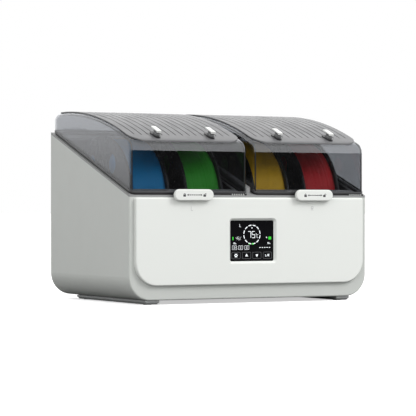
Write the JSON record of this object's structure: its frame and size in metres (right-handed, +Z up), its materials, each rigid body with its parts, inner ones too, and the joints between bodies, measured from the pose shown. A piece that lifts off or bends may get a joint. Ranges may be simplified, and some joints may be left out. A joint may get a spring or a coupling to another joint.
{
  "type": "filament dryer box",
  "caption": "Heated box that dries and feeds filament spools, with a bevelled control screen, smoked hinged lids with sliding latches and stoppered outlets.",
  "frame": {"origin": "on the ground, below the middle of the machine's bounding box", "axes": "+X to the right seen from the front, +Y from the screen towards the back, +Z up"},
  "size_m": [0.39, 0.288, 0.2794],
  "materials": {
    "body_grey": "fine satin texture",
    "fascia_white": "smooth satin",
    "trim_grey": "fine matt texture",
    "foot_grey": "matt",
    "clear_smoke": "clear smoked, polished",
    "seal_rubber": "matt",
    "dark_plastic": "satin",
    "screen_glass": "polished black",
    "circuit_board": "solder mask",
    "supply_metal": "plain sheet",
    "heater_metal": "finned",
    "plated_steel": "plated",
    "contact_brass": "plated",
    "switch_black": "gloss",
    "plug_light": "satin",
    "reel_black": "moulded",
    "filament_blue": "wound thread",
    "filament_green": "wound thread",
    "filament_yellow": "wound thread",
    "filament_red": "wound thread"
  },
  "bodies": {
    "base": {"cover_screws": "plated_steel", "deck_frame": "trim_grey", "display_board": "circuit_board", "display_frame": "dark_plastic", "display_glass": "screen_glass", "fan_frames": "dark_plastic", "foot_bars": "foot_grey", "foot_pads": "seal_rubber", "front_fascia": "fascia_white", "heater_guards": "plated_steel", "heaters": "heater_metal", "hinge_brackets": "plated_steel", "hinge_pins": "plated_steel", "housing_shell": "body_grey", "humidity_sensors": "circuit_board", "inlet_blades": "contact_brass", "latch_keepers": "plated_steel", "lid_gaskets": "seal_rubber", "main_board": "circuit_board", "power_inlet": "dark_plastic", "power_supply": "supply_metal", "rear_cover": "trim_grey", "roller_shafts": "plated_steel", "shaft_clips": "dark_plastic", "tub_left": "dark_plastic", "tub_right": "dark_plastic"},
    "lid_left": {"lid_shell_left": "clear_smoke", "top_panel_left": "trim_grey", "outlet_seats_left": "dark_plastic", "latch_track_left": "dark_plastic"},
    "lid_right": {"lid_shell_right": "clear_smoke", "top_panel_right": "trim_grey", "outlet_seats_right": "dark_plastic", "latch_track_right": "dark_plastic"},
    "latch_left_body": {"latch_left": "fascia_white"},
    "impeller_left_body": {"impeller_left": "dark_plastic"},
    "latch_right_body": {"latch_right": "fascia_white"},
    "impeller_right_body": {"impeller_right": "dark_plastic"},
    "spool_1": {"reel_1": "reel_black", "filament_1": "filament_blue"},
    "plug_1": {"outlet_plug_1": "plug_light"},
    "roller_1_front_body": {"roller_1_front": "seal_rubber"},
    "roller_1_rear_body": {"roller_1_rear": "seal_rubber"},
    "spool_2": {"reel_2": "reel_black", "filament_2": "filament_green"},
    "plug_2": {"outlet_plug_2": "plug_light"},
    "roller_2_front_body": {"roller_2_front": "seal_rubber"},
    "roller_2_rear_body": {"roller_2_rear": "seal_rubber"},
    "spool_3": {"reel_3": "reel_black", "filament_3": "filament_yellow"},
    "plug_3": {"outlet_plug_3": "plug_light"},
    "roller_3_front_body": {"roller_3_front": "seal_rubber"},
    "roller_3_rear_body": {"roller_3_rear": "seal_rubber"},
    "spool_4": {"reel_4": "reel_black", "filament_4": "filament_red"},
    "plug_4": {"outlet_plug_4": "plug_light"},
    "roller_4_front_body": {"roller_4_front": "seal_rubber"},
    "roller_4_rear_body": {"roller_4_rear": "seal_rubber"},
    "rocker_body": {"rocker_switch": "switch_black"}
  },
  "joints": [
    {"name": "lid_left_hinge", "type": "hinge", "parent": "base", "child": "lid_left", "pos_m": [-0.099, 0.14, 0.254], "axis": [-1, 0, 0], "range_deg": [0, 85]},
    {"name": "latch_left_slide", "type": "slide", "parent": "lid_left", "child": "latch_left_body", "axis": [-1, 0, 0], "range_m": [0, 0.009]},
    {"name": "impeller_left_spin", "type": "hinge", "parent": "base", "child": "impeller_left_body", "pos_m": [-0.099, 0.1185, 0.0684], "axis": [0, 1, 0], "continuous": true},
    {"name": "lid_right_hinge", "type": "hinge", "parent": "base", "child": "lid_right", "pos_m": [0.099, 0.14, 0.254], "axis": [-1, 0, 0], "range_deg": [0, 85]},
    {"name": "latch_right_slide", "type": "slide", "parent": "lid_right", "child": "latch_right_body", "axis": [-1, 0, 0], "range_m": [0, 0.009]},
    {"name": "impeller_right_spin", "type": "hinge", "parent": "base", "child": "impeller_right_body", "pos_m": [0.099, 0.1185, 0.0684], "axis": [0, 1, 0], "continuous": true},
    {"name": "spool_1_spin", "type": "hinge", "parent": "base", "child": "spool_1", "pos_m": [-0.144, 0.0025, 0.1414], "axis": [1, 0, 0], "continuous": true},
    {"name": "plug_1_pull", "type": "slide", "parent": "lid_left", "child": "plug_1", "axis": [0, -0.3677, 0.9299], "range_m": [0, 0.012]},
    {"name": "roller_1_front_spin", "type": "hinge", "parent": "base", "child": "roller_1_front_body", "pos_m": [-0.144, -0.0652, 0.05432], "axis": [1, 0, 0], "continuous": true},
    {"name": "roller_1_rear_spin", "type": "hinge", "parent": "base", "child": "roller_1_rear_body", "pos_m": [-0.144, 0.0702, 0.05432], "axis": [1, 0, 0], "continuous": true},
    {"name": "spool_2_spin", "type": "hinge", "parent": "base", "child": "spool_2", "pos_m": [-0.057, 0.0025, 0.1414], "axis": [1, 0, 0], "continuous": true},
    {"name": "plug_2_pull", "type": "slide", "parent": "lid_left", "child": "plug_2", "axis": [0, -0.3677, 0.9299], "range_m": [0, 0.012]},
    {"name": "roller_2_front_spin", "type": "hinge", "parent": "base", "child": "roller_2_front_body", "pos_m": [-0.057, -0.0652, 0.05432], "axis": [1, 0, 0], "continuous": true},
    {"name": "roller_2_rear_spin", "type": "hinge", "parent": "base", "child": "roller_2_rear_body", "pos_m": [-0.057, 0.0702, 0.05432], "axis": [1, 0, 0], "continuous": true},
    {"name": "spool_3_spin", "type": "hinge", "parent": "base", "child": "spool_3", "pos_m": [0.054, 0.0025, 0.1414], "axis": [1, 0, 0], "continuous": true},
    {"name": "plug_3_pull", "type": "slide", "parent": "lid_right", "child": "plug_3", "axis": [0, -0.3677, 0.9299], "range_m": [0, 0.012]},
    {"name": "roller_3_front_spin", "type": "hinge", "parent": "base", "child": "roller_3_front_body", "pos_m": [0.054, -0.0652, 0.05432], "axis": [1, 0, 0], "continuous": true},
    {"name": "roller_3_rear_spin", "type": "hinge", "parent": "base", "child": "roller_3_rear_body", "pos_m": [0.054, 0.0702, 0.05432], "axis": [1, 0, 0], "continuous": true},
    {"name": "spool_4_spin", "type": "hinge", "parent": "base", "child": "spool_4", "pos_m": [0.141, 0.0025, 0.1414], "axis": [1, 0, 0], "continuous": true},
    {"name": "plug_4_pull", "type": "slide", "parent": "lid_right", "child": "plug_4", "axis": [0, -0.3677, 0.9299], "range_m": [0, 0.012]},
    {"name": "roller_4_front_spin", "type": "hinge", "parent": "base", "child": "roller_4_front_body", "pos_m": [0.141, -0.0652, 0.05432], "axis": [1, 0, 0], "continuous": true},
    {"name": "roller_4_rear_spin", "type": "hinge", "parent": "base", "child": "roller_4_rear_body", "pos_m": [0.141, 0.0702, 0.05432], "axis": [1, 0, 0], "continuous": true},
    {"name": "rocker_tilt", "type": "hinge", "parent": "base", "child": "rocker_body", "pos_m": [0.019, 0.131, 0.0524], "axis": [-1, 0, 0], "range_deg": [0, 16]}
  ],
  "couplings": [
    {"joint": "roller_1_front_spin", "follows": "spool_1_spin", "ratio": -10},
    {"joint": "roller_1_rear_spin", "follows": "spool_1_spin", "ratio": -10},
    {"joint": "roller_2_front_spin", "follows": "spool_2_spin", "ratio": -10},
    {"joint": "roller_2_rear_spin", "follows": "spool_2_spin", "ratio": -10},
    {"joint": "roller_3_front_spin", "follows": "spool_3_spin", "ratio": -10},
    {"joint": "roller_3_rear_spin", "follows": "spool_3_spin", "ratio": -10},
    {"joint": "roller_4_front_spin", "follows": "spool_4_spin", "ratio": -10},
    {"joint": "roller_4_rear_spin", "follows": "spool_4_spin", "ratio": -10}
  ]
}
